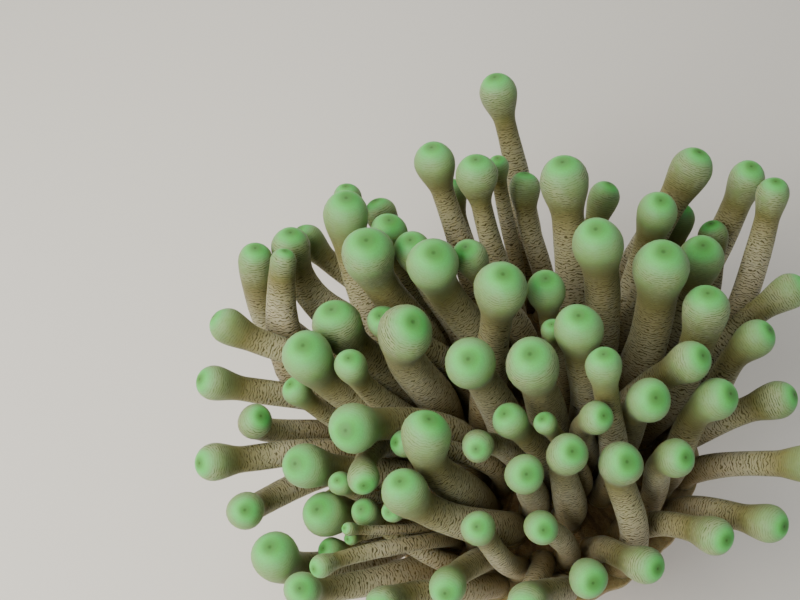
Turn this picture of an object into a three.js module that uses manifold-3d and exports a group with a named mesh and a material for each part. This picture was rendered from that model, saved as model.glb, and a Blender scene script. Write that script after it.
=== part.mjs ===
// A giant Caribbean sea anemone, life size, standing on its pedal disc: foot, column, oral disc with its
// mouth, a margin that carries the small outer tentacles, and the large club-tipped tentacles one by one.
// Millimetres, +Z up, origin at the centre of the foot's flat sole.

import * as THREE from "three";
import { mergeVertices } from "three/addons/utils/BufferGeometryUtils.js";
import Module from "manifold-3d";

const wasm = await Module();
wasm.setup();

const DEG = Math.PI / 180;

// ---------------------------------------------------------------- body sizes

const JOIN_GAP = 0.3; // between pieces that touch
const FOOT_RADIUS = 38;
const FOOT_HEIGHT = 8;
const COLUMN_FOOT_RADIUS = 33;
const COLUMN_WAIST_RADIUS = 29.5;
const COLUMN_WAIST_Z = 24;
const COLUMN_TOP_RADIUS = 51;
const DISC_RADIUS = 62;
const DISC_TOP_Z = 62; // at the centre
const DISC_DROOP = 10; // the rim lies this much lower
const DISC_THICKNESS = 5;
const MARGIN_INNER_RADIUS = 43;
const SECTORS = { right: 0, back: 90, left: 180, front: -90 }; // degrees, at each sector's middle
const MOUTH_RING_RADIUS = 6;
const LIP_RADIUS = 2.4;
const MOUTH_WIDTH_RATIO = 0.6;
const BODY_SIDES = 22;

// ---------------------------------------------------------------- crown sizes

// The crown is laid out on its face, a plane that leans back, as seen from an eye in front of it.
const FACE_ELEVATION = 58 * DEG;
const FACE_CENTRE = new THREE.Vector3(-13, -3, 128);
const EYE_DISTANCE = 333;
const EYE_ACROSS = -32.1;
const EYE_UP = 11.1;

// Bulb centres lie on a canopy: highest near the middle, lower at the edge, tilted a little towards the front.
// The crown sways off the foot's axis, as in a current, and the canopy's middle with it.
const SWAY_ACROSS = -10;
const SWAY_BACK = 12;
const CANOPY_TOP = 133;
const CANOPY_TILT = 0.1;
const CANOPY_DROP = 38; // at CROWN_RADIUS
const CROWN_RADIUS = 90;
const LEAN_AT_EDGE = 42 * DEG; // how far a tip at the crown's edge leans out

const BASE_RATIO = 0.76; // a tentacle's radius at its base, over its bulb's
const BASE_MOST = 5.6;
const NECK_RATIO = 0.7;
const STEM_SWELL = 0.12; // half-way, over the bulb's radius
const BULB_SPACING = 0.7;
const ROOT_SPACING = 1;
const STEM_SPACING = 1.3;
const ROOT_BACK = 30; // a root is looked for under the point this far back along the tentacle
const ROOT_SHARE = 0.62; // how far out it first stands, over that point's distance from the axis
const MOUTH_CLEARANCE = 10;
const ROOT_EDGE = 1.5; // bare rim outside the roots
const SECTOR_CLEARANCE = 0.8;

const WHOLE_SIDES = 7;
const SMALL_SIDES = 6;
const ROOT_ROUNDS = 900;
const SMALL_SUNK = 1.5; // into the margin, of which they are part

// Each row is one tentacle: across and up on the face, the bulb's radius there, how far its bulb sinks behind
// the canopy, then, where it doesn't simply lean out, its aim: how far the tip points across and up as the eye
// sees it, over 1. Then come, where they aren't the usual, the neck's width over the bulb's, how much the stem
// swells half-way, over the bulb, and how far the stem hangs before it rises to its tip, from 0 to 1.
const TENTACLES = [
  // the back row, standing tall
  [-2.7, 73.5, 5.7, -18, [-0.2, 0.8], 0.56],
  [-21.8, 52.5, 6.2, -4, [-0.15, 0.73], 0.54],
  [-9.2, 48.7, 6.3, 0, [-0.04, 0.74], 0.5],
  [17.1, 47.1, 7.5, -4, [-0.08, 0.74], 0.68],
  [57.0, 51.0, 6.4, -8, [0.1, 0.72], 0.7],
  [72.3, 47.1, 5.4, -4, [0.16, 0.78], 0.8],
  [79.6, 43.0, 5.0, -12, [0.17, 0.76], 0.76],
  [45.0, 37.6, 6.1, 0, [0.17, 0.57]],
  // the right side
  [27.3, 28.2, 7.7, 0, [-0.1, 0.56]],
  [46.3, 21.1, 8.3, 0, [0.07, 0.56], 0.74],
  [58.5, 24.2, 6.8, 14, [0.04, 0.5]],
  [61.2, 31.5, 4.4, 17, [-0.03, 0.6]],
  [59.8, 8.9, 6.9, 0, [0.06, 0.64], 0.78],
  // the middle
  [-22.7, 22.1, 7.8, 0, [0.08, 0.42]],
  [-11.7, 24.0, 5.3, 12, [-0.15, 0.6]],
  [-29.4, 25.8, 5.7, 14, [0.05, 0.6]],
  [-1.7, 14.3, 8.1, 0, [0.06, 0.58], 0.6],
  [11.6, 14.1, 6.0, 14, [0.0, 0.6], 0.56],
  [21.3, 2.6, 7.4, -3, [0.02, 0.54]],
  [13.7, 2.1, 3.5, 14, [-0.1, 0.5]],
  [7.5, -8.3, 8.2, 0, [-0.08, 0.4]],
  [-11.4, -7.1, 7.7, 0, [-0.04, 0.07]],
  [28.6, -8.3, 5.6, -4, [0.06, 0.58]],
  // the upper left
  [-41.3, 25.0, 8.0, 0, [-0.12, 0.52]],
  [-48.4, 37.0, 7.0, 0, [0.02, 0.7]],
  [-35.7, 31.2, 5.7, 16, [0.05, 0.7]],
  [-65.1, 27.0, 6.0, 12, [0.02, 0.75], 0.8, 0.25, 0.5],
  [-66.8, 22.5, 4.1, 0, [0.05, 0.85], 1.05, 0.75, 1],
  [-75.8, 22.5, 5.3, 0, [0.05, 0.82], 0.95, 0.5, 1],
  // the left
  [-31.2, 1.8, 8.4, 0, [0.36, 0.34]],
  [-38.4, 3.9, 5.0, 16, [0.0, 0.5]],
  [-51.9, 3.2, 7.6, 4, [-0.12, 0.7]],
  [-60.3, -6.0, 7.7, 0, [-0.13, 0.46]],
  [-46.9, -9.0, 5.0, 4, [-0.15, 0.55]],
  [-76.0, -25.3, 5.2, 0, [0.42, 0.32]],
  // the lower left, pointing at the eye
  [-45.3, -29.9, 7.5, 0, [-0.43, 0.23]],
  [-25.5, -27.3, 7.5, 0, [0.28, 0.38]],
  [-32.4, -32.1, 4.2, 14],
  [-60.2, -40.8, 6.9, 0, [-0.52, 0.4], 0.7, 0],
  [-43.0, -44.0, 5.0, 2, [0.0, -0.15], 0.7, 0.05],
  [-31.7, -44.8, 7.0, 0, [-0.08, 0.23]],
  [-58.2, -53.7, 6.8, 0, [0.15, 0.3]],
  [-69.8, -64.3, 7.3, 0, [-0.2, 0.19]],
  [-62.4, -75.2, 5.6, -3, [0.03, -0.03]],
  // the front, low in the middle
  [0.7, -24.9, 5.3, 8, [-0.3, 0.36]],
  [11.5, -25.5, 3.5, 6, [-0.3, 0.28]],
  [-9.0, -32.4, 4.9, 4, [-0.08, -0.25]],
  [27.3, -24.3, 5.1, 0],
  [5.1, -41.0, 6.0, 0],
  [18.0, -34.5, 6.3, 0],
  // the front right
  [41.4, -19.5, 6.6, 0],
  [54.9, -7.5, 6.3, 0],
];

// The small outer tentacles, in the same way. They grow from the margin and are one piece with it.
const SMALL_TENTACLES = [
  [-88.0, -38.0, 5.7, 0],
  [-78.8, -52.3, 5.7, 0, [0.02, 0.07]],
  [33.3, -37.5, 6.6, 0],
  [62.7, -18.3, 6.4, 0],
  [-49.4, -42.9, 3.6, 4],
  [-62.7, -15.3, 4.2, 14],
  [-48.0, 42.0, 4.2, 14, [-0.1, 0.8]],
  [-52.2, -51.3, 3.9, 30],
  [-48.0, -57.0, 2.1, 0],
  [-53.4, -62.6, 3.9, 3],
  [-47.0, -60.3, 2.1, 14],
  [-56.4, -68.6, 3.5, -11],
  [-42.3, -51.3, 4.2, 12],
  [-34.7, -52.2, 3.3, 8],
  [74.3, 0.0, 5.8, 0],
  [84.9, 13.6, 5.4, 0],
  [81.4, -18.5, 5.7, 0],
  [90.0, -38.0, 5.6, 0],
  [-9.0, -56.0, 5.2, 0],
  [10.0, -57.0, 5.2, 0],
  [50.3, -36.3, 5.8, 0],
  [-18.0, -75.0, 5.7, 0],
  [24.0, -72.0, 5.9, 0],
  [4.0, -79.0, 5.8, 0],
  [42.5, -68.0, 5.7, 0],
  [62.0, -60.0, 5.7, 0],
  [78.5, -56.0, 5.8, 0],
  [-37.5, -80.0, 5.4, 0],
  [-84.0, 4.0, 5.4, 0],
  [-88.0, -14.0, 5.4, 4],
  [-2.7, 51.3, 3.3, 14, [-0.05, 0.75]],
  [2.0, -96.0, 5.3, 0],
  // short young ones, low behind the back row
  [-60.0, 29.0, 4.8, 32],
  [-38.0, 37.0, 4.8, 36],
  [-17.0, 43.0, 4.6, 38],
  [5.0, 45.0, 4.6, 36],
  [29.0, 42.0, 4.8, 36],
  [50.0, 36.0, 4.8, 34],
];

// ---------------------------------------------------------------- the crown's face

const FACE_RIGHT = new THREE.Vector3(1, 0, 0);
const FACE_UP = new THREE.Vector3(0, Math.sin(FACE_ELEVATION), Math.cos(FACE_ELEVATION));
const FACE_OUT = new THREE.Vector3(0, -Math.cos(FACE_ELEVATION), Math.sin(FACE_ELEVATION));

function onFace(across, up, out = 0) {
  return FACE_CENTRE.clone()
    .addScaledVector(FACE_RIGHT, across)
    .addScaledVector(FACE_UP, up)
    .addScaledVector(FACE_OUT, out);
}

const EYE = onFace(EYE_ACROSS, EYE_UP, EYE_DISTANCE);

function canopyZ(p) {
  const back = p.y - SWAY_BACK;
  const out = Math.min(Math.hypot(p.x - SWAY_ACROSS, back) / CROWN_RADIUS, 1);
  return CANOPY_TOP + CANOPY_TILT * back - CANOPY_DROP * out * out;
}

// Where a line from the eye through a point of the face meets the canopy, found by halving.
function meetCanopy(across, up) {
  const sight = onFace(across, up).sub(EYE).normalize();
  let near = EYE_DISTANCE * 0.5;
  let far = EYE_DISTANCE * 1.6;
  for (let step = 0; step < 40; step++) {
    const middle = (near + far) / 2;
    const p = EYE.clone().addScaledVector(sight, middle);
    if (p.z > canopyZ(p)) near = middle;
    else far = middle;
  }
  return { sight, distance: near };
}

// A tip points as its aim says, or else up and out from the canopy's middle.
function aimOf(t) {
  if (t.aim) {
    const across = FACE_RIGHT.clone().addScaledVector(t.sight, -t.sight.dot(FACE_RIGHT)).normalize();
    const up = new THREE.Vector3().crossVectors(across, t.sight);
    const towards = Math.sqrt(1 - t.aim[0] ** 2 - t.aim[1] ** 2);
    return across.multiplyScalar(t.aim[0]).addScaledVector(up, t.aim[1]).addScaledVector(t.sight, -towards);
  }
  const out = new THREE.Vector2(t.bulb.x - SWAY_ACROSS, t.bulb.y - SWAY_BACK);
  const lean = LEAN_AT_EDGE * Math.min(out.length() / CROWN_RADIUS, 1.1);
  out.setLength(Math.sin(lean));
  return new THREE.Vector3(out.x, out.y, Math.cos(lean));
}

// ---------------------------------------------------------------- bulbs, roots and stems

function startTentacle(row, small) {
  const [across, up, faceRadius, sink, aim, neck = NECK_RATIO, swell = small ? 0 : STEM_SWELL, hang = 0] = row;
  const { sight, distance } = meetCanopy(across, up);
  return { sight, distance: distance + sink, faceRadius, aim, neck, swell, hang, small };
}

// Bulbs that would touch slide along their lines of sight, the hinder one most, until they clear each other.
function slideBulbs(tentacles) {
  const depthOf = (t) => t.distance * -t.sight.dot(FACE_OUT);
  for (const t of tentacles) t.radius = (t.faceRadius * depthOf(t)) / EYE_DISTANCE;
  for (let round = 0; round < 150; round++) {
    const centres = tentacles.map((t) => EYE.clone().addScaledVector(t.sight, t.distance));
    const shifts = tentacles.map(() => 0);
    for (let i = 0; i < tentacles.length; i++) {
      for (let j = i + 1; j < tentacles.length; j++) {
        const need = tentacles[i].radius + tentacles[j].radius + BULB_SPACING;
        const apart = centres[j].clone().sub(centres[i]);
        if (apart.length() >= need) continue;
        const along = apart.dot(tentacles[i].sight);
        const beside = Math.max(apart.lengthSq() - along * along, 0);
        const missing = Math.sqrt(Math.max(need * need - beside, 0)) - Math.abs(along);
        const [front, behind] = along >= 0 ? [i, j] : [j, i];
        shifts[behind] += 0.35 * missing;
        shifts[front] -= 0.15 * missing;
      }
    }
    tentacles.forEach((t, i) => (t.distance += shifts[i]));
  }
  for (const t of tentacles) {
    t.bulb = EYE.clone().addScaledVector(t.sight, t.distance);
    t.direction = aimOf(t);
    t.tip = t.bulb.clone().addScaledVector(t.direction, t.radius);
    t.base = Math.min(BASE_RATIO * t.radius, BASE_MOST);
  }
}

function discTopZ(radius) {
  return DISC_TOP_Z - DISC_DROOP * (radius / DISC_RADIUS) ** 2;
}

function directionAt(degrees) {
  return new THREE.Vector2(Math.cos(degrees * DEG), Math.sin(degrees * DEG));
}

function sectorOf(root) {
  const nearest = (a, b) => root.dot(directionAt(SECTORS[b])) - root.dot(directionAt(SECTORS[a]));
  return Object.keys(SECTORS).sort(nearest)[0];
}

// A small tentacle stays within its own sector of the margin.
function keepInSector(t) {
  for (const turn of [-45, 45]) {
    const edge = directionAt(SECTORS[t.sector] + turn);
    const missing = t.base + SECTOR_CLEARANCE - t.root.dot(edge);
    if (missing > 0) t.root.addScaledVector(edge, missing);
  }
}

// Roots start under their tentacles, drawn in towards the axis, and ease apart until each has its own place.
function placeRoots(tentacles) {
  for (const t of tentacles) {
    const under = t.bulb.clone().addScaledVector(t.direction, -ROOT_BACK);
    t.root = new THREE.Vector2(under.x - SWAY_ACROSS, under.y - SWAY_BACK);
    t.root.multiplyScalar(ROOT_SHARE + 0.2 * t.hang);
    t.home = t.root.clone();
    t.sector = sectorOf(t.root);
  }
  for (let round = 0; round < ROOT_ROUNDS; round++) {
    const homing = 0.02 * Math.max(1 - (1.4 * round) / ROOT_ROUNDS, 0);
    const shifts = tentacles.map((t) => t.home.clone().sub(t.root).multiplyScalar(homing));
    for (let i = 0; i < tentacles.length; i++) {
      for (let j = i + 1; j < tentacles.length; j++) {
        const apart = tentacles[i].root.clone().sub(tentacles[j].root);
        const distance = Math.max(apart.length(), 0.01);
        const missing = tentacles[i].base + tentacles[j].base + ROOT_SPACING - distance;
        if (missing <= 0) continue;
        apart.multiplyScalar((0.3 * missing) / distance);
        shifts[i].add(apart);
        shifts[j].sub(apart);
      }
    }
    tentacles.forEach((t, i) => {
      t.root.add(shifts[i]);
      const inner = (t.small ? MARGIN_INNER_RADIUS + 1 : MOUTH_CLEARANCE) + t.base;
      const outer = DISC_RADIUS - ROOT_EDGE - t.base;
      t.root.clampLength(inner, outer);
      if (t.small) keepInSector(t);
    });
  }
}

function normalAt(root) {
  const slope = (2 * DISC_DROOP) / DISC_RADIUS ** 2;
  return new THREE.Vector3(root.x * slope, root.y * slope, 1).normalize();
}

// A tentacle's line is one cubic curve: it leaves the disc squarely and ends along the tip's aim.
function startStem(t) {
  const foot = new THREE.Vector3(t.root.x, t.root.y, discTopZ(t.root.length()));
  t.normal = normalAt(t.root);
  t.span = foot.distanceTo(t.tip);
  t.knots = [
    foot,
    foot.clone().addScaledVector(t.normal, (0.4 - 0.2 * t.hang) * t.span),
    t.tip.clone().addScaledVector(t.direction, -(0.46 + 0.34 * t.hang) * t.span),
    t.tip,
  ];
  t.rest = [t.knots[1].clone(), t.knots[2].clone()];
}

function bernstein(u) {
  const v = 1 - u;
  return [v * v * v, 3 * u * v * v, 3 * u * u * v, u * u * u];
}

function pointAt(knots, u) {
  const point = new THREE.Vector3();
  bernstein(u).forEach((weight, k) => point.addScaledVector(knots[k], weight));
  return point;
}

const smooth = (a, b, x) => {
  const u = Math.min(Math.max((x - a) / (b - a), 0), 1);
  return u * u * (3 - 2 * u);
};

// What the stem's swelling adds to its radius, at a share of the way from root to neck.
function swellAt(t, share) {
  return t.swell * t.radius * smooth(0, 0.4, share) * (1 - smooth(0.4, 1, share));
}

// The radius at a distance s from the root: a stem, a neck, and a pear-shaped bulb that closes at the tip.
function radiusAt(t, s, length) {
  const fromTip = length - s;
  const neckFrom = 2.8 * t.radius;
  const neck = t.neck * t.radius;
  const taper = t.base + (neck - t.base) * smooth(0, length - neckFrom, s);
  const stem = taper + swellAt(t, s / (length - neckFrom));
  if (fromTip <= t.radius) return Math.sqrt(Math.max(t.radius ** 2 - (t.radius - fromTip) ** 2, 0));
  return stem + (t.radius - stem) * smooth(neckFrom, t.radius, fromTip);
}

const SAMPLES = 12;
const STEM_ROUNDS = 240;
const KNOT_LEAST = 0.2;
const KNOT_SIDE = 0.42;

function sampleStem(t) {
  const points = [];
  for (let k = 0; k <= SAMPLES; k++) points.push(pointAt(t.knots, k / SAMPLES));
  const along = [0];
  for (let k = 1; k <= SAMPLES; k++) along.push(along[k - 1] + points[k].distanceTo(points[k - 1]));
  const length = along[SAMPLES];
  return points.map((point, k) => {
    const weights = bernstein(k / SAMPLES);
    return {
      point,
      radius: radiusAt(t, along[k], length),
      pull: [weights[1], weights[2]],
      ease: weights[1] ** 2 + weights[2] ** 2,
    };
  });
}

// Keeps a middle knot well off its end of the stem and near the way that end points, so that no stem doubles
// back.
function steady(knot, end, way, span) {
  const side = knot.clone().sub(end);
  const along = side.dot(way);
  side.addScaledVector(way, -along);
  const kept = Math.max(along, KNOT_LEAST * span);
  knot.copy(end).addScaledVector(way, kept).add(side.clampLength(0, KNOT_SIDE * kept));
}

// Stems that would touch bend apart. Only the two middle knots move, so each stays one smooth curve.
function easeStems(tentacles) {
  for (let round = 0; round < STEM_ROUNDS; round++) {
    const stems = tentacles.map(sampleStem);
    const shifts = tentacles.map((t) =>
      [1, 2].map((k) => t.rest[k - 1].clone().sub(t.knots[k]).multiplyScalar(0.01)),
    );
    for (let i = 0; i < stems.length; i++) {
      for (let j = i + 1; j < stems.length; j++) {
        for (const a of stems[i]) {
          for (const b of stems[j]) {
            const apart = a.point.clone().sub(b.point);
            const distance = Math.max(apart.length(), 0.01);
            const missing = a.radius + b.radius + STEM_SPACING - distance;
            if (missing <= 0) continue;
            const ease = a.ease + b.ease;
            if (ease < 0.02) continue;
            apart.multiplyScalar((0.4 * missing) / distance / Math.max(ease, 0.15));
            for (const k of [0, 1]) {
              shifts[i][k].addScaledVector(apart, a.pull[k]);
              shifts[j][k].addScaledVector(apart, -b.pull[k]);
            }
          }
        }
      }
    }
    tentacles.forEach((t, i) => {
      for (const k of [0, 1]) t.knots[k + 1].add(shifts[i][k].clampLength(0, 1.5));
      steady(t.knots[1], t.knots[0], t.normal, t.span);
      steady(t.knots[2], t.knots[3], t.direction.clone().negate(), t.span);
    });
  }
}

function growCrown() {
  const tentacles = [
    ...TENTACLES.map((row) => startTentacle(row, false)),
    ...SMALL_TENTACLES.map((row) => startTentacle(row, true)),
  ];
  slideBulbs(tentacles);
  placeRoots(tentacles);
  tentacles.forEach(startStem);
  easeStems(tentacles);
  return tentacles;
}

// ---------------------------------------------------------------- solids

function material(name, color, roughness = 0.45) {
  const made = new THREE.MeshStandardMaterial({ color, roughness, metalness: 0 });
  made.name = name;
  return made;
}

const FLESH = {
  tentacle: material("tentacle", 0x9fb98f),
  column: material("column", 0xb98a63, 0.6),
  disc: material("disc", 0x9a8a63, 0.55),
  mouth: material("mouth", 0xb9a07a, 0.5),
  margin: material("margin", 0x9fb98f, 0.5),
};

function lathe(profile, sides) {
  const points = profile.map(([r, z]) => new THREE.Vector2(r, z));
  return new THREE.LatheGeometry(points, sides).rotateX(Math.PI / 2);
}

function solidOf(geometry) {
  geometry.deleteAttribute("normal");
  geometry.deleteAttribute("uv");
  const merged = mergeVertices(geometry, 1e-4);
  return new wasm.Manifold(
    new wasm.Mesh({
      numProp: 3,
      vertProperties: merged.attributes.position.array,
      triVerts: new Uint32Array(merged.index.array),
    }),
  );
}

function geometryOf(solid) {
  const { vertProperties, triVerts } = solid.getMesh();
  const geometry = new THREE.BufferGeometry();
  geometry.setAttribute("position", new THREE.BufferAttribute(vertProperties, 3));
  geometry.setIndex(new THREE.BufferAttribute(triVerts, 1));
  return geometry.toNonIndexed();
}

function piece(name, geometry, skin) {
  geometry.computeVertexNormals();
  const mesh = new THREE.Mesh(geometry, skin);
  mesh.name = name;
  return mesh;
}

// A straight club, turned on the lathe, whose height is then bent along the tentacle's curve.
function tentacleGeometry(t, sides, sunk) {
  const curve = new THREE.CubicBezierCurve3(...t.knots);
  const length = curve.getLength();
  const neck = length - 2.8 * t.radius;
  const heights = t.small ? [0, 0.5 * neck, neck] : [0, 0.36 * neck, 0.72 * neck, neck];
  heights.push(length - 1.9 * t.radius, length - t.radius, length - 0.38 * t.radius);
  const profile = heights.map((s) => [radiusAt(t, s, length), s]);
  profile.unshift([0, 0]);
  profile.push([0, length]);
  const geometry = new THREE.LatheGeometry(
    profile.map(([r, s]) => new THREE.Vector2(r, s)),
    sides,
  );
  const position = geometry.getAttribute("position");
  const sideways = new THREE.Vector3(-t.root.y, t.root.x, 0).normalize();
  for (let i = 0; i < position.count; i++) {
    const s = position.getY(i);
    const share = Math.min(s / length, 1);
    const tangent = s === 0 ? t.normal : curve.getTangentAt(share);
    const across = sideways.clone().addScaledVector(tangent, -sideways.dot(tangent)).normalize();
    const other = new THREE.Vector3().crossVectors(tangent, across);
    const point = curve.getPointAt(share);
    point.addScaledVector(across, position.getZ(i)).addScaledVector(other, position.getX(i));
    if (s === 0) point.addScaledVector(t.normal, sunk ? -SMALL_SUNK : JOIN_GAP);
    position.setXYZ(i, point.x, point.y, point.z);
  }
  return geometry;
}

function makeFoot() {
  const profile = [
    [0, 0],
    [FOOT_RADIUS - 2, 0],
    [FOOT_RADIUS, 2],
    [FOOT_RADIUS - 1.5, 5],
    [COLUMN_FOOT_RADIUS + 0.5, FOOT_HEIGHT],
    [0, FOOT_HEIGHT],
  ];
  return piece("pedal_disc", lathe(profile, BODY_SIDES), FLESH.column);
}

const underDisc = (radius) => discTopZ(radius) - DISC_THICKNESS;

function makeColumn() {
  const profile = [
    [0, FOOT_HEIGHT + JOIN_GAP],
    [COLUMN_FOOT_RADIUS, FOOT_HEIGHT + JOIN_GAP],
    [COLUMN_WAIST_RADIUS + 1, 15],
    [COLUMN_WAIST_RADIUS, COLUMN_WAIST_Z],
    [COLUMN_WAIST_RADIUS + 2.5, 34],
    [COLUMN_WAIST_RADIUS + 8.5, 43],
    [COLUMN_TOP_RADIUS, underDisc(COLUMN_TOP_RADIUS) - JOIN_GAP],
    [MARGIN_INNER_RADIUS, underDisc(MARGIN_INNER_RADIUS) - JOIN_GAP],
    [MARGIN_INNER_RADIUS / 2, underDisc(MARGIN_INNER_RADIUS / 2) - JOIN_GAP],
    [0, underDisc(0) - JOIN_GAP],
  ];
  return piece("column", lathe(profile, BODY_SIDES), FLESH.column);
}

function makeOralDisc() {
  const rim = MARGIN_INNER_RADIUS - JOIN_GAP;
  const profile = [
    [0, underDisc(0)],
    [rim / 2, underDisc(rim / 2)],
    [rim, underDisc(rim)],
    [rim, discTopZ(rim)],
    [rim / 2, discTopZ(rim / 2)],
    [0, discTopZ(0)],
  ];
  return piece("oral_disc", lathe(profile, BODY_SIDES), FLESH.disc);
}

function makeMouth() {
  const height = discTopZ(0) + JOIN_GAP + LIP_RADIUS;
  const profile = [];
  for (let k = 0; k <= 5; k++) {
    const angle = (k / 5) * 2 * Math.PI;
    profile.push([MOUTH_RING_RADIUS + LIP_RADIUS * Math.cos(angle), height + LIP_RADIUS * Math.sin(angle)]);
  }
  return piece("mouth", lathe(profile, 12).scale(1, MOUTH_WIDTH_RATIO, 1), FLESH.mouth);
}

// A quarter of the space round the axis, less the join gap.
function wedge(middle) {
  const reach = 2 * DISC_RADIUS;
  const start = JOIN_GAP / Math.SQRT2;
  const outline = new THREE.Shape([
    new THREE.Vector2(start, 0),
    new THREE.Vector2(reach, start - reach),
    new THREE.Vector2(reach, reach - start),
  ]);
  return new THREE.ExtrudeGeometry(outline, { depth: DISC_TOP_Z * 2, bevelEnabled: false }).rotateZ(middle);
}

function makeMargin(small) {
  const inner = MARGIN_INNER_RADIUS;
  const middle = (inner + DISC_RADIUS) / 2;
  const profile = [
    [inner, underDisc(inner)],
    [middle, underDisc(middle)],
    [DISC_RADIUS - 4, underDisc(DISC_RADIUS) + 0.5],
    [DISC_RADIUS - 0.8, discTopZ(DISC_RADIUS) - 2.5],
    [DISC_RADIUS, discTopZ(DISC_RADIUS) - 0.8],
    [DISC_RADIUS - 1, discTopZ(DISC_RADIUS - 1)],
    [middle, discTopZ(middle)],
    [inner, discTopZ(inner)],
    [inner, underDisc(inner)],
  ];
  const ring = solidOf(lathe(profile, BODY_SIDES));
  return Object.entries(SECTORS).map(([name, middle]) => {
    let solid = ring.intersect(solidOf(wedge(middle * DEG)));
    for (const t of small.filter((t) => t.sector === name)) {
      solid = solid.add(solidOf(tentacleGeometry(t, SMALL_SIDES, true)));
    }
    return piece("margin_" + name, geometryOf(solid), FLESH.margin);
  });
}

function makeAnemone() {
  const group = new THREE.Group();
  const tentacles = growCrown();
  group.add(makeFoot(), makeColumn(), makeOralDisc(), makeMouth());
  group.add(...makeMargin(tentacles.filter((t) => t.small)));
  tentacles
    .filter((t) => !t.small)
    .forEach((t, i) => {
      const name = "tentacle_" + String(i + 1).padStart(2, "0");
      group.add(piece(name, tentacleGeometry(t, WHOLE_SIDES, false), FLESH.tentacle));
    });
  return group;
}

export default makeAnemone();
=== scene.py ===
"""A giant Caribbean sea anemone as a museum shows it: one moist, translucent skin from foot to tips.

Lengths are millimetres while shapes are worked out, and metres in the meshes. The frame's axes are kept, so
+Z is up. The tentacles' lines and thicknesses are read from the frame's own pieces, and the skin is drawn
round them.
"""

import functools
import itertools
import math

import bpy
import numpy as np
from mathutils import Matrix, Vector


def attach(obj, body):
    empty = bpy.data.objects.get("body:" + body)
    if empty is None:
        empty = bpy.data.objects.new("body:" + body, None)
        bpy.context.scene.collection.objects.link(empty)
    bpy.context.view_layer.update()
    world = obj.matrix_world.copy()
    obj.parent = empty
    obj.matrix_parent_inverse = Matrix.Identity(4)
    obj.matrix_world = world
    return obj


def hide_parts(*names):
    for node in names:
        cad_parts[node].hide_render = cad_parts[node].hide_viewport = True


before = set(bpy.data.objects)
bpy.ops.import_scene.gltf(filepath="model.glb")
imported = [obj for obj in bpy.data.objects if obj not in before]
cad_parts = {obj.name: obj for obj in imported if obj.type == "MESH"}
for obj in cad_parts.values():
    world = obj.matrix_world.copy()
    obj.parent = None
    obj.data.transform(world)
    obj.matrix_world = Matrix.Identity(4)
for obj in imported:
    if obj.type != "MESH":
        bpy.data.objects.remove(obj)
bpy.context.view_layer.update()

MM = 0.001
rng = np.random.default_rng(20)

# ---------------------------------------------------------------- the crown's face and an eye on it

FACE_ELEVATION = math.radians(58)
FACE_CENTRE = np.array([-13.0, -3.0, 128.0])
EYE_DISTANCE = 333.0
EYE_ACROSS = -32.1
EYE_UP = 11.1
VIEW_WIDTH = 240.0  # seen at the face's distance

# ---------------------------------------------------------------- skin sizes

AROUND = 24  # faces round a tentacle
TIP_RINGS = 9  # pole to widest
BULB_RINGS = 7  # widest to neck
STEM_RINGS = 12
ROOT_RINGS = 5
ROOT_FLARE_HEIGHT = 3.2  # where a stem starts to spread into the disc
ROOT_FLARE = 0.2  # how much wider it is where they meet
ROOT_CROWDING = 1.6  # its rings lie closer together towards the disc
ROOT_SUNK = 0.9  # into the disc, so no gap shows
NECK_FROM = 2.8  # bulb radii from the tip to the neck
PORE_RADIUS = 0.13  # of the bulb's
PORE_DEPTH = 0.07
STEM_RING_AT = 0.36  # the share of the way from root to neck where the frame gives a large stem's radius
STEM_WIDEST = 0.4
TANGENT_REACH = 0.4  # a line's direction is measured over this length each way
SECTION_WAVES = ((2, 0.022, 1 / 9), (3, 0.014, -1 / 6))  # lobes, share of the radius, radians to the mm
STEM_WAVE = 0.016  # share of the radius by which a stem swells and thins along it
STEM_WAVE_PACE = 1 / 4.1  # radians to the millimetre
PATTERN_STEP = 40.0  # each tentacle's pattern starts this much further on, so no two are alike
DISC_TOP_Z = 62.0
DISC_DROOP = 10.0
DISC_RADIUS = 62.0
BODY_AROUND = 252
BODY_ROWS = 78
FOOT_WAVE = 1.1  # how far the foot's edge wanders in and out
FOOT_WAVES = ((5, 0.7, 1.0), (8, 0.5, 2.2), (13, 0.3, 0.0))  # waves round it, their shares and phases
COLUMN_FURROWS = 24
FURROW_DEPTH = 0.28
COLUMN_LEAN = 0.5  # a slow wave that turns as it goes up
FOLD_PACE = 1 / 1.35  # radians to the millimetre, for the folds round the column
FOLD_DEPTH = 0.3
SCALLOPS = 34  # round the margin
SCALLOP_DEPTH = 0.45
LIP_FOLDS = 22
LIP_FOLD_DEPTH = 0.3
MOUTH_WIDTH_RATIO = 0.6  # the mouth is a slit: narrower one way


# ---------------------------------------------------------------- reading the frame

WHOLE_RINGS = 7  # that the frame's large tentacles have between their poles
SMALL_RINGS = 5  # and the small ones down to where they join the margin
BULB_RING, NECK_RING, HALFWAY_RING, STEM_RING = 1, 3, 4, 5  # counted down from 0, next to the tip
FEWEST_SIDES = 6
POLE_EVENNESS = 0.85  # shortest to longest edge from a pole
CIRCLE_SLACK = 0.1  # corners this near a circle's plane lie on it
RADIUS_SLACK = 6.0  # and this many times as far from its edge, because its radius is less sure
ON_DISC = 0.6  # corners this near the disc's top belong to a root
CROWN_MIDDLE = (0, 0, 40)  # a large tentacle's tip is farther from it than its root


def disc_top(points):
    """The height of the disc's top: a shallow dome that falls with the square of the radius."""
    return DISC_TOP_Z - DISC_DROOP * (np.hypot(points[:, 0], points[:, 1]) / DISC_RADIUS) ** 2


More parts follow.
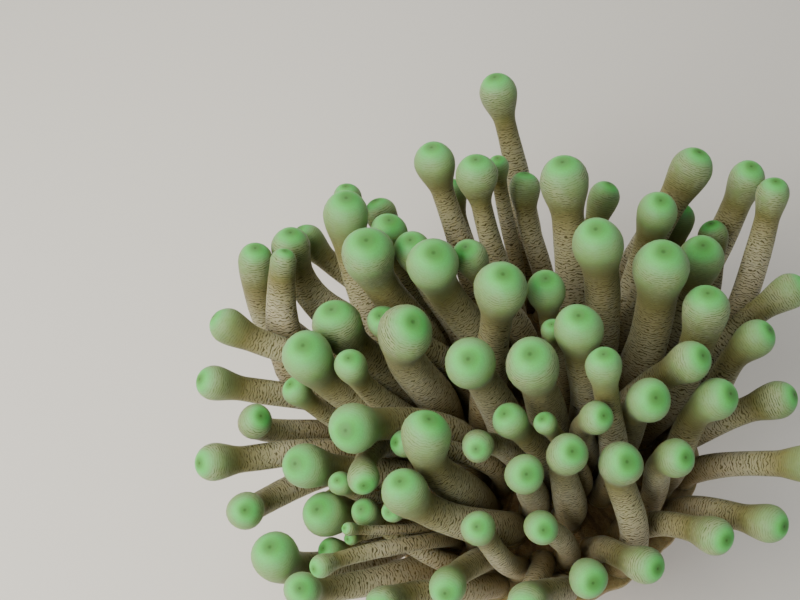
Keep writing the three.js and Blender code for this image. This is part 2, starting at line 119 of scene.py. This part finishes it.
def merged(node):
    """A node's corners in mm, with copies merged, and its edges as pairs of corners."""
    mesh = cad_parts[node].data
    corners = np.empty(len(mesh.vertices) * 3)
    mesh.vertices.foreach_get("co", corners)
    corners = corners.reshape(-1, 3) / MM
    loops = np.empty(len(mesh.loops), int)
    mesh.loops.foreach_get("vertex_index", loops)
    _, first, same = np.unique(np.round(corners, 2), axis=0, return_index=True, return_inverse=True)
    triangles = same.reshape(-1)[loops].reshape(-1, 3)
    pairs = np.concatenate([triangles[:, [0, 1]], triangles[:, [1, 2]], triangles[:, [2, 0]]])
    return corners[first], np.unique(np.sort(pairs, axis=1), axis=0)


def poles(corners, edges):
    """The ends of tentacles: corners in the middle of a fan, whose edges all have about one length."""
    length = np.linalg.norm(corners[edges[:, 0]] - corners[edges[:, 1]], axis=1)
    ends = edges.T.ravel()
    both = np.tile(length, 2)
    longest = np.zeros(len(corners))
    np.maximum.at(longest, ends, both)
    shortest = np.full(len(corners), np.inf)
    np.minimum.at(shortest, ends, both)
    count = np.bincount(ends, minlength=len(corners))
    return np.flatnonzero((shortest > POLE_EVENNESS * longest) & (count >= FEWEST_SIDES))


def rings_down(pole, corners, edges, count):
    """The rings of corners down a tentacle, from the one next to its tip's pole."""
    reached = np.zeros(len(corners), bool)
    reached[pole] = True
    ring = np.array([pole])
    found = []
    for _ in range(count):
        touching = np.isin(edges, ring)
        ring = np.unique(edges[touching[:, ::-1]])
        ring = ring[~reached[ring]]
        reached[ring] = True
        found.append(corners[ring])
    return found


def cut_ring(ring, radius):
    """The middle and radius of a ring that new corners have joined, because two small tentacles touch there.

    The ring's own corners lie on one circle of about this radius, so the circle through three corners that
    has the most others on it is taken.
    """
    most = ring[:0]
    for a, b, c in itertools.combinations(ring, 3):
        u, v = b - a, c - a
        axis = np.cross(u, v)
        middle = a + (np.cross(axis, u) * (v @ v) + np.cross(v, axis) * (u @ u)) / (2 * (axis @ axis))
        away = ring - middle
        beside = np.abs(np.linalg.norm(away, axis=1) - radius) / RADIUS_SLACK
        on_it = beside + np.abs(away @ axis) / np.linalg.norm(axis) < CIRCLE_SLACK
        if on_it.sum() > len(most):
            most, best = ring[on_it], middle
    return best, np.linalg.norm(most - best, axis=1).mean()


def tentacle_line(pole, corners, edges, whole):
    """One tentacle: points on its middle line from root to tip, and the radii of its parts.

    A small one's root is the middle of the corners where its own stem meets the disc. Its base is as much
    wider than its halfway ring as that is wider than its neck.
    """
    rings = rings_down(pole, corners, edges, WHOLE_RINGS if whole else SMALL_RINGS + 1)
    if not whole:
        root = rings.pop()
    centres = [ring.mean(axis=0) for ring in rings]
    radii = [np.linalg.norm(ring - centre, axis=1).mean() for ring, centre in zip(rings, centres)]
    if not whole:
        if len(rings[HALFWAY_RING]) > len(rings[NECK_RING]):
            centres[HALFWAY_RING], radii[HALFWAY_RING] = cut_ring(rings[HALFWAY_RING], radii[NECK_RING])
        base = 2 * radii[HALFWAY_RING] - radii[NECK_RING]
        root = root[np.abs(root[:, 2] - disc_top(root)) < ON_DISC]
        root = root[np.linalg.norm(root - np.median(root, axis=0), axis=1) < 2 * base]
        centres.append((root.min(axis=0) + root.max(axis=0)) / 2)
        radii.append(base)
    line = np.array([corners[pole], *centres])[::-1]
    stem = radii[STEM_RING] if whole else None
    return {"line": line, "base": radii[-1], "stem": stem, "neck": radii[NECK_RING], "bulb": radii[BULB_RING]}


def read_tentacles():
    """Every tentacle: each large one is a node of the frame, and the small ones are part of the margin's."""
    found = []
    for node in sorted(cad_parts):
        corners, edges = merged(node)
        if node.startswith("tentacle_"):
            ends = poles(corners, edges)
            tip = ends[np.argmax(np.linalg.norm(corners[ends] - CROWN_MIDDLE, axis=1))]
            found.append(tentacle_line(tip, corners, edges, True))
        elif node.startswith("margin_"):
            found += [tentacle_line(pole, corners, edges, False) for pole in poles(corners, edges)]
    return found


# ---------------------------------------------------------------- curves

def smooth(a, b, x):
    """0 up to a, 1 from b, and a smooth S between."""
    u = np.clip((x - a) / (b - a), 0, 1)
    return u * u * (3 - 2 * u)


def lengths_along(points):
    """How far along the line through points each of them lies."""
    return np.concatenate([[0], np.cumsum(np.linalg.norm(np.diff(points, axis=0), axis=1))])


def spline(points, start, end, at):
    """The smoothest cubic through points, leaving along start and arriving along end, at distances along it.

    The tangents at the inner points are solved for so that the curve's bend has no jump at any of them.
    """
    x = lengths_along(points)
    h = np.diff(x)
    n = len(x)
    slopes = np.diff(points, axis=0) / h[:, None]
    inner = np.arange(1, n - 1)
    system = np.zeros((n, n))
    system[0, 0] = 1
    system[-1, -1] = 1
    system[inner, inner - 1] = h[1:]
    system[inner, inner] = 2 * (h[:-1] + h[1:])
    system[inner, inner + 1] = h[:-1]
    bends = 3 * (h[1:, None] * slopes[:-1] + h[:-1, None] * slopes[1:])
    tangents = np.linalg.solve(system, np.concatenate([[start], bends, [end]]))
    k = np.clip(np.searchsorted(x, at, side="right") - 1, 0, n - 2)
    s = ((at - x[k]) / h[k])[:, None]
    step = h[k][:, None]
    return (
        (2 * s**3 - 3 * s**2 + 1) * points[k]
        + (s**3 - 2 * s**2 + s) * step * tangents[k]
        + (-2 * s**3 + 3 * s**2) * points[k + 1]
        + (s**3 - s**2) * step * tangents[k + 1]
    )


# ---------------------------------------------------------------- tentacles

def disc_normal(root):
    """The way out of the disc's dome at a root."""
    up = np.array([root[0], root[1], 0.0]) * 2 * DISC_DROOP / DISC_RADIUS**2 + [0, 0, 1]
    return up / np.linalg.norm(up)


def tentacle_skin(t, number):
    """The grid of one tentacle's skin from its root to its tip, and what its points carry.

    Along the middle line, the section is a circle: the stem tapers from base to neck, the neck swells as a
    smooth S into the bulb, and the bulb closes as half a ball with a small dimple at the pole. Slow waves
    round and along it keep it from being perfectly round, and the root spreads where it meets the disc.
    """
    r = t["bulb"]
    points = t["line"]
    normal = disc_normal(points[0])
    aim = points[-1] - points[-2]
    aim /= np.linalg.norm(aim)
    length = lengths_along(points)[-1]
    neck_at = NECK_FROM * r
    from_tip = np.concatenate(
        [
            length - ROOT_FLARE_HEIGHT * np.linspace(0, 1, ROOT_RINGS, endpoint=False) ** ROOT_CROWDING,
            np.linspace(length - ROOT_FLARE_HEIGHT, neck_at, STEM_RINGS, endpoint=False),
            np.linspace(neck_at, r, BULB_RINGS, endpoint=False),
            r * (1 - np.cos(np.linspace(math.pi / 2, 0, TIP_RINGS + 1))),
        ]
    )
    along = length - from_tip
    centre, before, after = (
        spline(points, normal, aim, np.clip(along + shift, 0, length))
        for shift in (0, -TANGENT_REACH, TANGENT_REACH)
    )
    tangent = after - before
    tangent /= np.linalg.norm(tangent, axis=1)[:, None]
    sideways = np.array([-points[0][1], points[0][0], 0.0])
    across = sideways - (tangent @ sideways)[:, None] * tangent
    across /= np.linalg.norm(across, axis=1)[:, None]
    other = np.cross(tangent, across)

    share = along / (length - neck_at)
    stem = t["base"] + (t["neck"] - t["base"]) * smooth(0, 1, share)
    if t["stem"]:
        taper = t["base"] + (t["neck"] - t["base"]) * smooth(0, 1, STEM_RING_AT)
        swollen = smooth(0, STEM_WIDEST, share) * (1 - smooth(STEM_WIDEST, 1, share))
        stem = stem + (t["stem"] - taper) * swollen
    swell = stem + (r - stem) * smooth(neck_at, r, from_tip)
    ball = np.sqrt(np.clip(r**2 - (r - from_tip) ** 2, 0, None))
    radius = np.where(from_tip <= r, ball, swell)
    radius *= 1 + ROOT_FLARE * np.clip(1 - along / ROOT_FLARE_HEIGHT, 0, 1) ** 2

    angle = (np.arange(AROUND) / AROUND * 2 * math.pi)[None]
    phase = rng.uniform(0, 2 * math.pi, 3)
    rise = along[:, None]
    wave = STEM_WAVE * np.sin(rise * STEM_WAVE_PACE + phase[2]) * smooth(0.8 * r, 2 * r, from_tip)[:, None]
    for (lobes, part, pace), start in zip(SECTION_WAVES, phase):
        wave = wave + part * np.sin(lobes * angle + start + rise * pace)
    section = radius[:, None] * (1 + wave)
    local = np.stack([section * np.cos(angle), section * np.sin(angle)], axis=-1)
    grid = centre[:, None] + local[..., :1] * across[:, None] + local[..., 1:] * other[:, None]
    dimple = PORE_DEPTH * r * np.exp(-((radius / (PORE_RADIUS * r)) ** 2)) * (from_tip < r)
    grid -= (dimple[:, None] * tangent)[:, None]
    grid[0] -= normal * ROOT_SUNK

    skin_length = lengths_along(np.stack([from_tip, radius], axis=-1))
    from_pole = skin_length[-1] - skin_length + PATTERN_STEP * number
    even = np.ones_like(section)
    return grid, {
        "straight": np.concatenate([local, (from_pole[:, None] * even)[..., None]], axis=-1),
        "tip": (from_tip / r)[:, None] * even,
        "rise": rise * even,
        "own": rng.uniform(0, 1) * even,
    }


# ---------------------------------------------------------------- foot, column, disc and mouth

# radius and height, from the middle of the sole, out and up the column, over the margin and in to the gullet
BODY_PROFILE = [
    (0, 0), (20, 0), (34, 0), (37.2, 0.5), (38, 2), (37, 4), (35, 6.4), (33.4, 9), (31.4, 14), (30, 20),
    (29.7, 26), (31.2, 33), (35.4, 40), (42, 45.6), (50, 48.3), (56.5, 48.1), (60.6, 48.6), (62, 50.4),
    (61, 52.4), (57, 53.7), (50, 55.5), (40, 57.8), (30, 59.7), (20, 61), (12.5, 61.7), (9.6, 62.2),
    (8.6, 63.6), (8.3, 65.4), (7.2, 66.8), (5.9, 67.1), (4.7, 66.3), (3.9, 64.6), (3.3, 62.4), (2.4, 60),
    (0, 58.6),
]
LAST_PLACE = len(BODY_PROFILE) - 1
MARGIN_EDGE = 17  # its place in the profile, counted from 0 at the sole


def body_skin():
    """One closed surface: the profile turned round the axis, and what its points carry.

    The foot's edge wanders in and out, shallow furrows run up the column, folds run round it, the margin is
    finely scalloped, and near the mouth the turned circles narrow to a slit.
    """
    profile = np.array(BODY_PROFILE, float)
    x = lengths_along(profile)
    knots = np.arange(len(x))
    by_knot = np.interp(np.linspace(0, len(x) - 1, BODY_ROWS), knots, x)
    at = (by_knot + np.linspace(0, x[-1], BODY_ROWS)) / 2
    r, z = np.clip(spline(profile, [1, 0], [-1, 0], at), 0, None).T[..., None]
    below = (at < x[MARGIN_EDGE])[:, None]
    a = (np.arange(BODY_AROUND) / BODY_AROUND * 2 * math.pi)[None]
    foot = (1 - smooth(3, 12, z)) * smooth(20, 36, r) * below
    column = smooth(4, 14, z) * (1 - smooth(40, 48, z)) * below
    change = foot * FOOT_WAVE * sum(share * np.sin(count * a + phase) for count, share, phase in FOOT_WAVES)
    change = change + column * FURROW_DEPTH * np.sin(COLUMN_FURROWS * a + 0.6 * np.sin(z / 5))
    change = change + column * COLUMN_LEAN * np.sin(3 * a + z / 12)
    folds = np.sin(z * FOLD_PACE + 1.5 * np.sin(2 * a + 0.7)) * (0.6 + 0.4 * np.sin(3 * a + 2))
    change = change + column * FOLD_DEPTH * folds
    change = change + smooth(52, 60, r) * SCALLOP_DEPTH * np.sin(SCALLOPS * a + np.sin(3 * a))
    narrow = np.where(below, 1, MOUTH_WIDTH_RATIO + (1 - MOUTH_WIDTH_RATIO) * smooth(8, 15, r))
    lips = smooth(60.5, 64, z) * (1 - smooth(8.8, 10, r)) * ~below
    r = r + change * smooth(0, 10, r)
    z = z + LIP_FOLD_DEPTH * lips * np.sin(LIP_FOLDS * a)
    grid = np.stack([r * np.cos(a), r * np.sin(a) * narrow, z], axis=-1)
    where = (np.interp(at, x, knots) / LAST_PLACE)[:, None] * np.ones_like(a)
    nothing = np.zeros_like(where)
    return grid, {"straight": grid, "tip": nothing, "rise": nothing, "own": nothing, "where": where}


# ---------------------------------------------------------------- one mesh from grids

MAP_COLUMNS = 14
MAP_GAP = 0.004
MAP_TENTACLES_FROM = 0.36
BODY_PATCH = (0.0, 0.0, 1.0, 0.355)
SAME_PLACE = 1e-6  # a row whose points differ by less is one point

CARRIED_KINDS = {
    "straight": "FLOAT_VECTOR",  # the place on a straightened tentacle, or in the body, in mm
    "tip": "FLOAT",  # how far from the tip, in bulb radii
    "rise": "FLOAT",  # how far along from the root, in mm
    "own": "FLOAT",  # a number of the tentacle's own, from 0 to 1
    "where": "FLOAT",  # how far along the body's profile, from 0 to 1
}


def grid_faces(rows, around, first, patch):
    """Faces of a grid that closes round, with a fan to one point at each end, and their places on the map.

    Points are numbered row by row from first, then come the two end points. Gives corner lists for the quads
    and the fans, and for each corner its u and v inside patch = (low u, low v, high u, high v).
    """
    ids = first + np.arange(rows * around).reshape(rows, around)
    ids = np.concatenate([ids, ids[:, :1]], axis=1)
    u, v = np.meshgrid(
        np.linspace(patch[0], patch[2], around + 1), np.linspace(patch[1], patch[3], rows + 2)
    )
    uv = np.stack([u, v], axis=-1)
    corners = [(slice(None, -1), slice(None, -1)), (slice(None, -1), slice(1, None))]
    corners += [(slice(1, None), slice(1, None)), (slice(1, None), slice(None, -1))]
    quads = np.stack([ids[c] for c in corners], axis=-1).reshape(-1, 4)
    quad_uv = np.stack([uv[1:-1][c] for c in corners], axis=-2).reshape(-1, 4, 2)
    start = np.full(around, first + rows * around)
    end = start + 1
    fans = np.concatenate(
        [
            np.stack([start, ids[0, 1:], ids[0, :-1]], axis=-1),
            np.stack([end, ids[-1, :-1], ids[-1, 1:]], axis=-1),
        ]
    )
    middle = (uv[:, 1:] + uv[:, :-1]) / 2
    fan_uv = np.concatenate(
        [
            np.stack([middle[0], uv[1, 1:], uv[1, :-1]], axis=-2),
            np.stack([middle[-1], uv[-2, :-1], uv[-2, 1:]], axis=-2),
        ]
    )
    return quads, quad_uv, fans, fan_uv


def make_skin(name, grids, materials):
    """Joins grids into one mesh of closed shells.

    Each entry is a grid, what its points carry, its patch of the map and its material's number. A grid's
    first and last rows close with a fan to their middle, or are one point where all of the row lies there.
    """
    points, rows, quads, quad_uv, fans, fan_uv, quad_material, fan_material = ([] for _ in range(8))
    count = 0
    for grid, values, patch, number in grids:
        start, end = grid[0].mean(axis=0), grid[-1].mean(axis=0)
        trimmed = slice(
            1 if np.ptp(grid[0], axis=0).max() < SAME_PLACE else 0,
            -1 if np.ptp(grid[-1], axis=0).max() < SAME_PLACE else None,
        )
        inner = grid[trimmed]
        points += [inner.reshape(-1, 3), start[None], end[None]]
        row = {}
        for key in CARRIED_KINDS:
            whole = values.get(key, np.zeros(grid.shape[:2]))
            whole = whole.reshape(*grid.shape[:2], -1)
            part = whole[trimmed].reshape(-1, whole.shape[-1])
            row[key] = np.concatenate([part, whole[0].mean(axis=0)[None], whole[-1].mean(axis=0)[None]])
        rows.append(row)
        made = grid_faces(len(inner), grid.shape[1], count, patch)
        for store, part in zip((quads, quad_uv, fans, fan_uv), made):
            store.append(part)
        quad_material.append(np.full(len(made[0]), number))
        fan_material.append(np.full(len(made[2]), number))
        count += inner.shape[0] * inner.shape[1] + 2
    quads, fans = np.concatenate(quads), np.concatenate(fans)
    mesh = bpy.data.meshes.new(name)
    mesh.vertices.add(count)
    mesh.vertices.foreach_set("co", (np.concatenate(points) * MM).ravel())
    mesh.loops.add(quads.size + fans.size)
    mesh.loops.foreach_set("vertex_index", np.concatenate([quads.ravel(), fans.ravel()]))
    mesh.polygons.add(len(quads) + len(fans))
    starts = np.concatenate([np.arange(len(quads)) * 4, quads.size + np.arange(len(fans)) * 3])
    mesh.polygons.foreach_set("loop_start", starts)
    mesh.polygons.foreach_set("material_index", np.concatenate(quad_material + fan_material))
    mesh.update(calc_edges=True)
    mesh.shade_smooth()
    for key, kind in CARRIED_KINDS.items():
        attribute = mesh.attributes.new(key, kind, "POINT")
        values = np.concatenate([row[key] for row in rows]).ravel()
        attribute.data.foreach_set("vector" if kind == "FLOAT_VECTOR" else "value", values)
    places = np.concatenate([np.concatenate(part).ravel() for part in (quad_uv, fan_uv)])
    mesh.uv_layers.new(name="OFBake").data.foreach_set("uv", places)
    for material in materials:
        mesh.materials.append(material)
    skin = bpy.data.objects.new(name, mesh)
    bpy.context.scene.collection.objects.link(skin)
    return skin


def map_patches(count):
    """Equal patches of the map for the tentacles, above the body's, with a small gap between."""
    rows = math.ceil(count / MAP_COLUMNS)
    wide, high = 1 / MAP_COLUMNS, (1 - MAP_TENTACLES_FROM) / rows
    half = MAP_GAP / 2
    for k in range(count):
        left, bottom = (k % MAP_COLUMNS) * wide, MAP_TENTACLES_FROM + (k // MAP_COLUMNS) * high
        yield (left + half, bottom + half, left + wide - half, bottom + high - half)


# ---------------------------------------------------------------- materials

# A noise of scale s, on places in millimetres, has clouds about 1 / s mm across.
SMOOTHLY = {"interpolation_type": "SMOOTHSTEP"}  # a range that starts and ends without a corner

# colours down a tentacle, by the distance from its tip in bulb radii
BANDS_END = 9.0
TENTACLE_BANDS = {
    0.0: "#4c8640",
    0.03: "#4f9548",
    0.07: "#56ae54",
    0.14: "#5fbd63",
    0.3: "#70b06d",
    0.55: "#76a066",
    0.95: "#73935a",
    1.4: "#6f804d",
    1.9: "#737748",
    2.5: "#787349",
    3.3: "#8a8460",
    4.4: "#9d9979",
    6.0: "#aaa48a",
    BANDS_END: "#978d70",
}
CREASE_TINTS = {
    0.0: "#94ac88",
    1.2: "#84906f",
    2.4: "#89805f",
    4.0: "#82795c",
    6.0: "#786c50",
    BANDS_END: "#6e6248",
}
BULB_CREASES = {"pace": 7.4, "sway": 9.0}  # radians to the millimetre: a crease every 0.85 mm
STEM_CREASES = {"pace": 6.0, "sway": 15.0}  # a crease every 1.05 mm
# the stems turn brown towards the root: partly their own brown where they join the disc, partly painted shade
# deep in the crown between the stems
STEM_BROWN_AND_SHADE_UP_TO = 36.0  # mm above the root

# colours of the body, by place in its profile
BODY_BANDS = {
    0: "#cdb08c",
    3: "#c6a27c",
    5: "#bb8a60",
    9: "#c08a5e",
    13: "#b8906a",
    16: "#9c8a5b",
    18: "#87794c",
    21: "#76603c",
    24: "#86704b",
    25: "#a58e6a",
    27: "#cdb196",
    30: "#c9a18a",
    32: "#85523f",
    LAST_PLACE: "#4d2c24",
}
DISC_STRIPES = 48


def linear(code):
    """A colour given as sRGB hex, in the linear values that shaders take."""
    parts = [int(code[i : i + 2], 16) / 255 for i in (1, 3, 5)]
    return (*(p / 12.92 if p <= 0.04045 else ((p + 0.055) / 1.055) ** 2.4 for p in parts), 1.0)


def add(tree, kind, *inputs, out=0, **settings):
    """Adds a shader node with its settings and gives one of its outputs.

    Its inputs, values or links, come in order or, where some are left alone, as one dictionary.
    """
    made = tree.nodes.new("ShaderNode" + kind)
    for key, value in settings.items():
        setattr(made, key, value)
    named = inputs[0] if inputs and isinstance(inputs[0], dict) else dict(enumerate(inputs))
    for key, value in named.items():
        if isinstance(value, bpy.types.NodeSocket):
            tree.links.new(value, made.inputs[key])
        else:
            made.inputs[key].default_value = value
    return made.outputs[out]


def product(tree, *values):
    """All of these values multiplied, by one node for each but the first."""
    return functools.reduce(lambda a, b: add(tree, "Math", a, b, operation="MULTIPLY"), values)


def bands(tree, value, reach, stops):
    """Colours along a value that goes from 0 to reach."""
    output = add(tree, "ValToRGB", add(tree, "Math", value, reach, operation="DIVIDE"))
    elements = output.node.color_ramp.elements
    for _ in range(len(stops) - 2):
        elements.new(0.5)
    for element, place in zip(elements, sorted(stops)):
        element.position = place / reach
        element.color = linear(stops[place])
    return output


def layered(tree, colour, *layers):
    """Lays colours over one another. Each layer is how much of it shows, its colour and its blend."""
    for amount, coat, blend in layers:
        values = {0: amount, 6: colour, 7: coat}
        colour = add(tree, "Mix", values, out=2, data_type="RGBA", blend_type=blend)
    return colour


def creases(tree, place, pace, sway):
    """Thin lines round a tentacle, pace radians to the millimetre along it, that sway with a slow noise."""
    along = add(tree, "SeparateXYZ", place, out=2)
    slow = add(tree, "TexNoise", {"Vector": place, "Scale": 0.5, "Detail": 1.0})
    bent = add(tree, "Math", slow, sway, product(tree, along, pace), operation="MULTIPLY_ADD")
    wave = add(tree, "Math", bent, operation="SINE")
    return add(tree, "MapRange", wave, 0.1, 0.95, **SMOOTHLY)


def radial_stripes(tree, angle, count, slow, sway):
    """A wave with count crests round the body, that sways with a slow noise."""
    bent = add(tree, "Math", slow, sway, product(tree, angle, float(count)), operation="MULTIPLY_ADD")
    return add(tree, "Math", bent, operation="SINE")


def flesh(name, scatter_mm, roughness, sheen):
    """A soft wet tissue, into which light goes and comes out some millimetres away."""
    material = bpy.data.materials.new(name)
    material.use_nodes = True
    tree = material.node_tree
    shader = tree.nodes["Principled BSDF"]
    for socket, value in (
        ("Subsurface Weight", 0.8),
        ("Subsurface Radius", [r * MM for r in scatter_mm]),
        ("Subsurface Scale", 1.0),
        ("IOR", 1.38),
        ("Roughness", roughness),
        ("Specular IOR Level", 0.32),
        ("Sheen Weight", sheen),
        ("Sheen Roughness", 0.4),
        ("Sheen Tint", linear("#dcefdc")),
    ):
        shader.inputs[socket].default_value = value
    return material, tree, shader


# Tissue of the tentacles: a clear outer layer over an inner one full of green and brown algae. It gives the
# eye a soft glow with no hard shadow edge, broad weak highlights, and fine dark creases that show the brown.
def tentacle_flesh():
    material, tree, shader = flesh("green_tipped_tentacle_flesh", (3.6, 2.8, 1.3), 0.5, 0.08)
    node = functools.partial(add, tree)
    place = node("Attribute", out="Vector", attribute_name="straight")
    tip, rise, own = (node("Attribute", out="Fac", attribute_name=name) for name in ("tip", "rise", "own"))

    # the bands of colour lie at each tentacle's own places, and their edges are cloudy
    stretch = node("Math", own, 0.4, 0.8, operation="MULTIPLY_ADD")
    cloudy = node("TexNoise", {"Vector": place, "Scale": 0.2})
    drift = node("Math", cloudy, 0.7, -0.35, operation="MULTIPLY_ADD")
    drifting = node("MapRange", tip, 0.15, 1.2, **SMOOTHLY)
    course = node("Math", drift, drifting, product(tree, tip, stretch), operation="MULTIPLY_ADD")
    course = node("Math", course, 0.0, operation="MAXIMUM")
    base = bands(tree, course, BANDS_END, TENTACLE_BANDS)

    # fine dark creases round it, like a fingerprint's lines, faint on some bulbs and strong on every stem
    on_stem = node("MapRange", course, 1.6, 3.4, **SMOOTHLY)
    fine, coarse = (creases(tree, place, **sizes) for sizes in (BULB_CREASES, STEM_CREASES))
    lines = node("Mix", {0: on_stem, 2: fine, 3: coarse})
    spread = node("VectorMath", place, (0.7, 0.7, 1.6), operation="MULTIPLY")
    unbroken = node("TexNoise", {"Vector": spread, "Scale": 1.0, "Detail": 1.0})
    lines = product(tree, lines, node("MapRange", unbroken, 0.36, 0.5, **SMOOTHLY))
    choice = node("Math", product(tree, own, 7.3), operation="FRACT")
    patches = node("TexNoise", {"Vector": place, "Scale": 0.14})
    on_bulb = product(
        tree,
        node("MapRange", course, 0.15, 0.6, **SMOOTHLY),
        node("MapRange", choice, 0.25, 0.8, 0.35, 1.0, **SMOOTHLY),
        node("MapRange", patches, 0.38, 0.58, 0.4, 1.0, **SMOOTHLY),
    )
    paler = product(tree, on_bulb, node("MapRange", course, 1.3, 2.4, 0.6, 0.0, **SMOOTHLY))
    shown = product(tree, lines, node("Mix", {0: on_stem, 2: on_bulb, 3: 1.0}))
    # painted shade: the lower stems are mixed toward a warm dark brown near the root, where shade falls
    # between them deep in the crown; next to the disc it is also the stems' own brown
    root_brown_and_painted_shade = node("MapRange", rise, 0.0, STEM_BROWN_AND_SHADE_UP_TO, 0.65, 0.0, **SMOOTHLY)
    grain = node("TexNoise", {"Vector": place, "Scale": 2.2, "Detail": 3.0})
    speckled = node("MapRange", grain, 0.35, 0.7, 0.0, 0.2, **SMOOTHLY)
    pore = node("MapRange", tip, 0.0, 0.012, 0.6, 0.0, **SMOOTHLY)
    colour = layered(
        tree,
        base,
        (paler, linear("#96967a"), "MIX"),
        (shown, bands(tree, course, BANDS_END, CREASE_TINTS), "MULTIPLY"),
        (root_brown_and_painted_shade, linear("#725728"), "MIX"),
        (speckled, linear("#66744a"), "MIX"),
        (pore, linear("#34451f"), "MIX"),
    )
    tree.links.new(colour, shader.inputs["Base Color"])

    sunk = product(tree, lines, node("MapRange", course, 1.6, 3.6, -0.15, -1.0, **SMOOTHLY))
    height = node("Math", grain, 0.35, sunk, operation="MULTIPLY_ADD")
    bump = node("Bump", {"Height": height, "Distance": 0.1 * MM, "Strength": 0.8})
    tree.links.new(bump, shader.inputs["Normal"])
    return material


# Tissue of the foot, column and disc: thicker and less clear than the tentacles', so it looks more like wet
# leather.
def body_flesh():
    material, tree, shader = flesh("tan_column_and_disc_flesh", (2.4, 1.2, 0.7), 0.48, 0.12)
    node = functools.partial(add, tree)
    place = node("Attribute", out="Vector", attribute_name="straight")
    where = product(tree, node("Attribute", out="Fac", attribute_name="where"), float(LAST_PLACE))
    angle = node("Math", *(node("SeparateXYZ", place, out=axis) for axis in (1, 0)), operation="ARCTAN2")
    cloudy = node("TexNoise", {"Vector": place, "Scale": 0.09, "Detail": 3.0})
    on_disc = node("MapRange", where, 18.0, 20.0, **SMOOTHLY)
    above_foot = node("MapRange", where, 5.0, 7.0, **SMOOTHLY)
    on_column = product(tree, above_foot, node("MapRange", where, 14.0, 17.0, 1.0, 0.0, **SMOOTHLY))

    # dark stripes run out over the disc, pale streaks and spots up the column, and all of it is mottled
    stripes = radial_stripes(tree, angle, DISC_STRIPES, cloudy, 3.0)
    stripes = product(tree, node("MapRange", stripes, 0.3, 0.95, **SMOOTHLY), on_disc, 0.55)
    streaks = radial_stripes(tree, angle, COLUMN_FURROWS, cloudy, 5.0)
    streaks = product(tree, node("MapRange", streaks, 0.2, 1.0, **SMOOTHLY), on_column, 0.4)
    spots = node("TexVoronoi", {"Vector": place, "Scale": 0.3})
    spots = product(tree, node("MapRange", spots, 0.18, 0.34, 1.0, 0.0, **SMOOTHLY), on_column)
    mottled = node("TexNoise", {"Vector": place, "Scale": 0.5, "Detail": 4.0})
    mottled = product(tree, node("MapRange", mottled, 0.35, 0.7, **SMOOTHLY), 0.35)
    colour = layered(
        tree,
        bands(tree, where, LAST_PLACE, BODY_BANDS),
        (stripes, linear("#4f3e25"), "MIX"),
        (streaks, linear("#dcb78c"), "MIX"),
        (product(tree, spots, 0.6), linear("#ead2b0"), "MIX"),
        (mottled, linear("#a08468"), "MULTIPLY"),
    )
    tree.links.new(colour, shader.inputs["Base Color"])

    # spots stand a little proud of a net of wrinkles
    taller = node("VectorMath", place, (1, 1, 1.7), operation="MULTIPLY")
    wrinkles = node("TexVoronoi", {"Vector": taller, "Scale": 0.7}, feature="DISTANCE_TO_EDGE")
    wrinkles = node("MapRange", wrinkles, 0.0, 0.2, **SMOOTHLY)
    grain = node("TexNoise", {"Vector": place, "Scale": 2.0, "Detail": 3.0})
    height = node("Math", wrinkles, 0.6, spots, operation="MULTIPLY_ADD")
    height = node("Math", grain, 0.3, height, operation="MULTIPLY_ADD")
    bump = node("Bump", {"Height": height, "Distance": 0.25 * MM, "Strength": 0.8})
    tree.links.new(bump, shader.inputs["Normal"])
    return material


# Painted board of a display stand: plain, matt and pale.
def matt_paint():
    material = bpy.data.materials.new("pale_matt_paint")
    material.use_nodes = True
    shader = material.node_tree.nodes["Principled BSDF"]
    shader.inputs["Base Color"].default_value = linear("#d9d6cf")
    shader.inputs["Roughness"].default_value = 0.85
    return material


# ---------------------------------------------------------------- the anemone

tentacles = read_tentacles()
patches = list(map_patches(len(tentacles)))
grids = [(*tentacle_skin(t, k), patch, 0) for k, (t, patch) in enumerate(zip(tentacles, patches))]
grids.append((*body_skin(), BODY_PATCH, 1))
skin = make_skin("anemone_skin", grids, [tentacle_flesh(), body_flesh()])
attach(skin, "root")
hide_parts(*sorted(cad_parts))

# ---------------------------------------------------------------- floor, light and camera

bpy.ops.mesh.primitive_plane_add(size=6.0, location=(0, 0, 0))
floor = bpy.context.object
floor.name = "floor"
floor.data.materials.append(matt_paint())


def soft_light(name, place, size, watts, colour):
    """A square soft box that faces the crown."""
    light = bpy.data.lights.new(name, "AREA")
    light.size = size
    light.energy = watts
    light.color = linear(colour)[:3]
    lamp = bpy.data.objects.new(name, light)
    lamp.location = place
    lamp.rotation_euler = (Vector(FACE_CENTRE * MM) - Vector(place)).to_track_quat("-Z", "Y").to_euler()
    bpy.context.scene.collection.objects.link(lamp)


soft_light("key", (-0.42, -0.16, 0.56), 0.4, 4.9, "#fff9ee")
soft_light("fill", (-0.34, -0.48, 0.5), 0.5, 4.2, "#f6f6f2")
soft_light("back", (-0.2, 0.6, 0.6), 0.35, 2.8, "#fffdf5")
soft_light("right", (0.6, 0.15, 0.4), 0.6, 0.8, "#eef2ff")

world = bpy.data.worlds.new("studio")
world.use_nodes = True
world.node_tree.nodes["Background"].inputs["Color"].default_value = linear("#e9ebee")
world.node_tree.nodes["Background"].inputs["Strength"].default_value = 0.22
bpy.context.scene.world = world

right = np.array([1.0, 0.0, 0.0])
up = np.array([0.0, math.sin(FACE_ELEVATION), math.cos(FACE_ELEVATION)])
out = np.cross(right, up)
eye = FACE_CENTRE + EYE_ACROSS * right + EYE_UP * up + EYE_DISTANCE * out
lens = bpy.data.cameras.new("camera")
lens.sensor_width = 36.0
lens.lens = lens.sensor_width * EYE_DISTANCE / VIEW_WIDTH
camera = bpy.data.objects.new("camera", lens)
turned = np.stack([right, up, out], axis=1)
camera.matrix_world = Matrix([(*row, place) for row, place in zip(turned, eye * MM)] + [(0, 0, 0, 1)])
bpy.context.scene.collection.objects.link(camera)
bpy.context.scene.camera = camera
